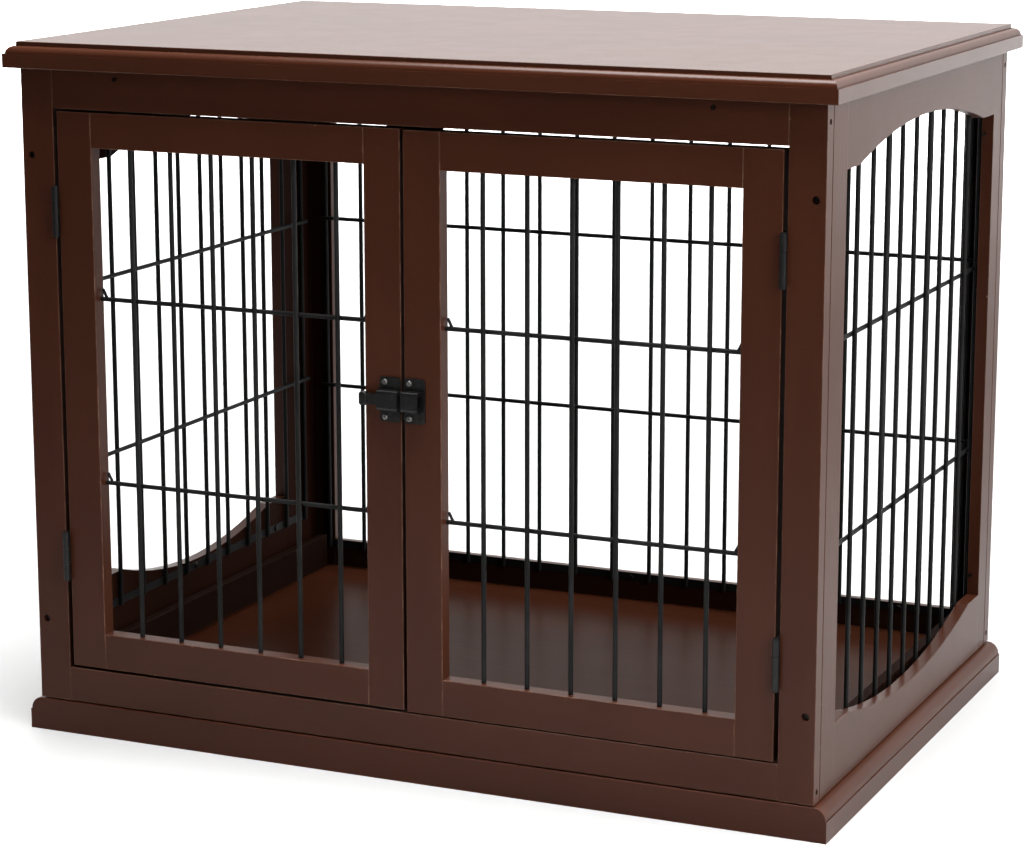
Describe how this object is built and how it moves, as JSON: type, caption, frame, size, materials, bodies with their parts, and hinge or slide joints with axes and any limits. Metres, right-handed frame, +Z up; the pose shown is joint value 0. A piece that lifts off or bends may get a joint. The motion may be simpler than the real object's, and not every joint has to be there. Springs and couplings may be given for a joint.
{
  "type": "dog crate end table",
  "caption": "Wooden dog crate with a table top: framed body with wire grilles on every side, two wire doors on butt hinges, a sliding latch, a floor board and a moulded plinth.",
  "frame": {"origin": "on the floor, under the middle of the tabletop", "axes": "+X along the front to the right, seen from the doors; +Y towards the back; +Z up"},
  "size_m": [0.81, 0.585, 0.665],
  "materials": {
    "top_wood": "satin dark brown paint",
    "frame_wood": "satin dark brown paint",
    "panel_wood": "satin dark brown paint",
    "door_wood": "satin dark brown paint",
    "plinth_wood": "satin dark brown paint",
    "floor_wood": "glossier dark brown paint",
    "inner_wood": "satin dark brown paint",
    "wire": "black powder coat",
    "hinge_metal": "black electro-coat",
    "latch_metal": "semi-gloss black paint",
    "screw_metal": "blackened steel",
    "latch_screw_metal": "black zinc, a little bright on the rim"
  },
  "bodies": {
    "crate": {"back_bottom_rail": "frame_wood", "back_grille": "wire", "back_stile_left": "frame_wood", "back_stile_right": "frame_wood", "back_top_rail": "frame_wood", "cleat_screws": "screw_metal", "door_stop": "inner_wood", "floor_board": "floor_wood", "floor_cleats": "inner_wood", "floor_lip_left": "inner_wood", "floor_lip_right": "inner_wood", "frame_bolts": "screw_metal", "front_bottom_rail": "frame_wood", "front_stile_left": "frame_wood", "front_stile_right": "frame_wood", "front_top_rail": "frame_wood", "grille_screws": "screw_metal", "hinge_frame_screws": "screw_metal", "hinge_pins": "hinge_metal", "left_arch_rail": "panel_wood", "left_back_stile": "panel_wood", "left_bottom_rail": "panel_wood", "left_front_stile": "panel_wood", "left_grille": "wire", "left_hinge_frame_leaves": "hinge_metal", "plinth_back": "plinth_wood", "plinth_front": "plinth_wood", "plinth_left": "plinth_wood", "plinth_right": "plinth_wood", "right_arch_rail": "panel_wood", "right_back_stile": "panel_wood", "right_bottom_rail": "panel_wood", "right_front_stile": "panel_wood", "right_grille": "wire", "right_hinge_frame_leaves": "hinge_metal", "stile_screws": "screw_metal", "tabletop": "top_wood", "top_cleat_back": "inner_wood", "top_cleat_front": "inner_wood", "top_cleat_left": "inner_wood", "top_cleat_right": "inner_wood"},
    "left_door": {"left_door_bottom_rail": "door_wood", "left_door_grille": "wire", "left_door_hinge_screws": "screw_metal", "left_door_hinge_stile": "door_wood", "left_door_meeting_stile": "door_wood", "left_door_top_rail": "door_wood", "left_hinge_door_leaves": "hinge_metal", "latch_plate": "latch_metal", "latch_plate_screws": "latch_screw_metal"},
    "right_door": {"right_door_bottom_rail": "door_wood", "right_door_grille": "wire", "right_door_hinge_screws": "screw_metal", "right_door_hinge_stile": "door_wood", "right_door_meeting_stile": "door_wood", "right_door_top_rail": "door_wood", "right_hinge_door_leaves": "hinge_metal", "latch_keeper": "latch_metal", "latch_keeper_screws": "latch_screw_metal"},
    "latch_bolt": {"latch_bolt": "latch_metal"}
  },
  "joints": [
    {"name": "left_door_hinge", "type": "hinge", "parent": "crate", "child": "left_door", "pos_m": [-0.357, -0.2845, 0.343], "axis": [0, 0, -1], "range_deg": [0, 170]},
    {"name": "right_door_hinge", "type": "hinge", "parent": "crate", "child": "right_door", "pos_m": [0.357, -0.2845, 0.33225], "axis": [0, 0, 1], "range_deg": [0, 170]},
    {"name": "latch_slide", "type": "slide", "parent": "left_door", "child": "latch_bolt", "axis": [1, 0, 0], "range_m": [0, 0.01]}
  ]
}
